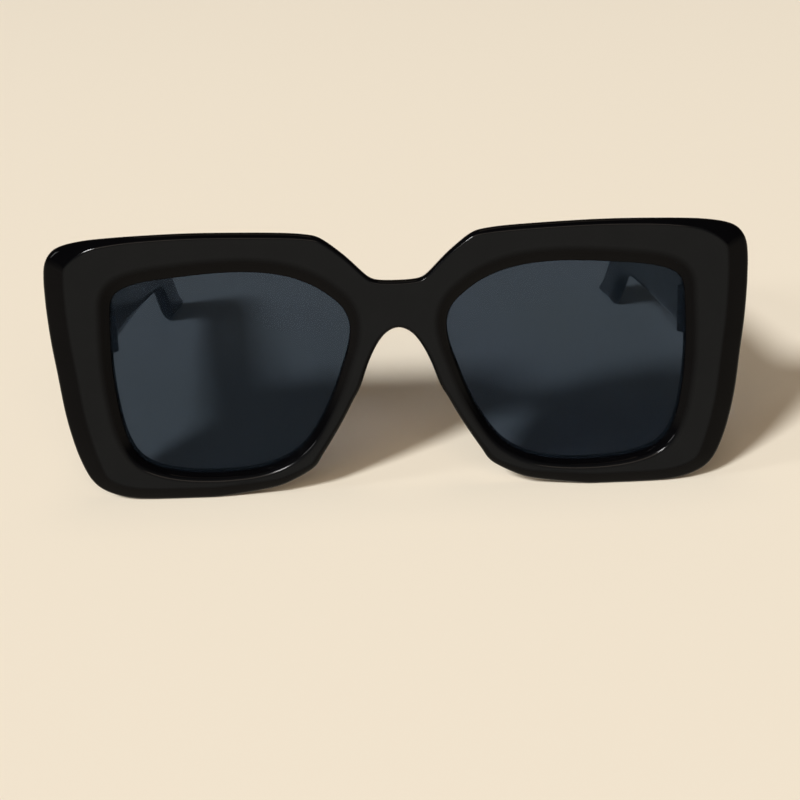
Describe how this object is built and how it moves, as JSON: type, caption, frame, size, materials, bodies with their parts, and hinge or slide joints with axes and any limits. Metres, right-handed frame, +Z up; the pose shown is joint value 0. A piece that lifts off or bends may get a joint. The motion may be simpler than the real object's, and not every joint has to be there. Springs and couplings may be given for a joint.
{
  "type": "oversized sunglasses",
  "caption": "Oversized angular full-rim sunglasses with flat dark lenses, a bevelled glossy front and wide temples that fold on barrel hinges.",
  "frame": {"origin": "centre of the base of the box round the open sunglasses, on the surface that they rest on", "axes": "+X to the right of the front as the picture shows it, +Y from the outer face of the front towards the tips of the open temples, +Z up"},
  "size_m": [0.148, 0.1576, 0.0592],
  "materials": {
    "front_plastic": "polished black acetate",
    "temple_plastic": "polished black acetate",
    "lens": "dark grey-blue tinted polymer, polished",
    "hinge_metal": "black nickel plate, satin",
    "screw_steel": "turned steel, black nickel plate",
    "core_steel": "plain nickel silver"
  },
  "bodies": {
    "front": {"front_frame": "front_plastic", "lens_left": "lens", "lens_right": "lens", "nose_pad_left": "front_plastic", "nose_pad_right": "front_plastic", "front_hinge_left": "hinge_metal", "front_hinge_right": "hinge_metal", "front_leaf_screws_left": "screw_steel", "front_leaf_screws_right": "screw_steel", "hinge_screw_left": "screw_steel", "hinge_screw_right": "screw_steel"},
    "left_temple": {"temple_left": "temple_plastic", "temple_hinge_left": "hinge_metal", "temple_leaf_screws_left": "screw_steel", "core_wire_left": "core_steel"},
    "right_temple": {"temple_right": "temple_plastic", "temple_hinge_right": "hinge_metal", "temple_leaf_screws_right": "screw_steel", "core_wire_right": "core_steel"}
  },
  "joints": [
    {"name": "temple_left_fold", "type": "hinge", "parent": "front", "child": "left_temple", "pos_m": [-0.063, -0.0658, 0.036], "axis": [0, 0, -1], "range_deg": [0, 92.5]},
    {"name": "temple_right_fold", "type": "hinge", "parent": "front", "child": "right_temple", "pos_m": [0.063, -0.0658, 0.036], "axis": [0, 0, 1], "range_deg": [0, 84.5]}
  ]
}
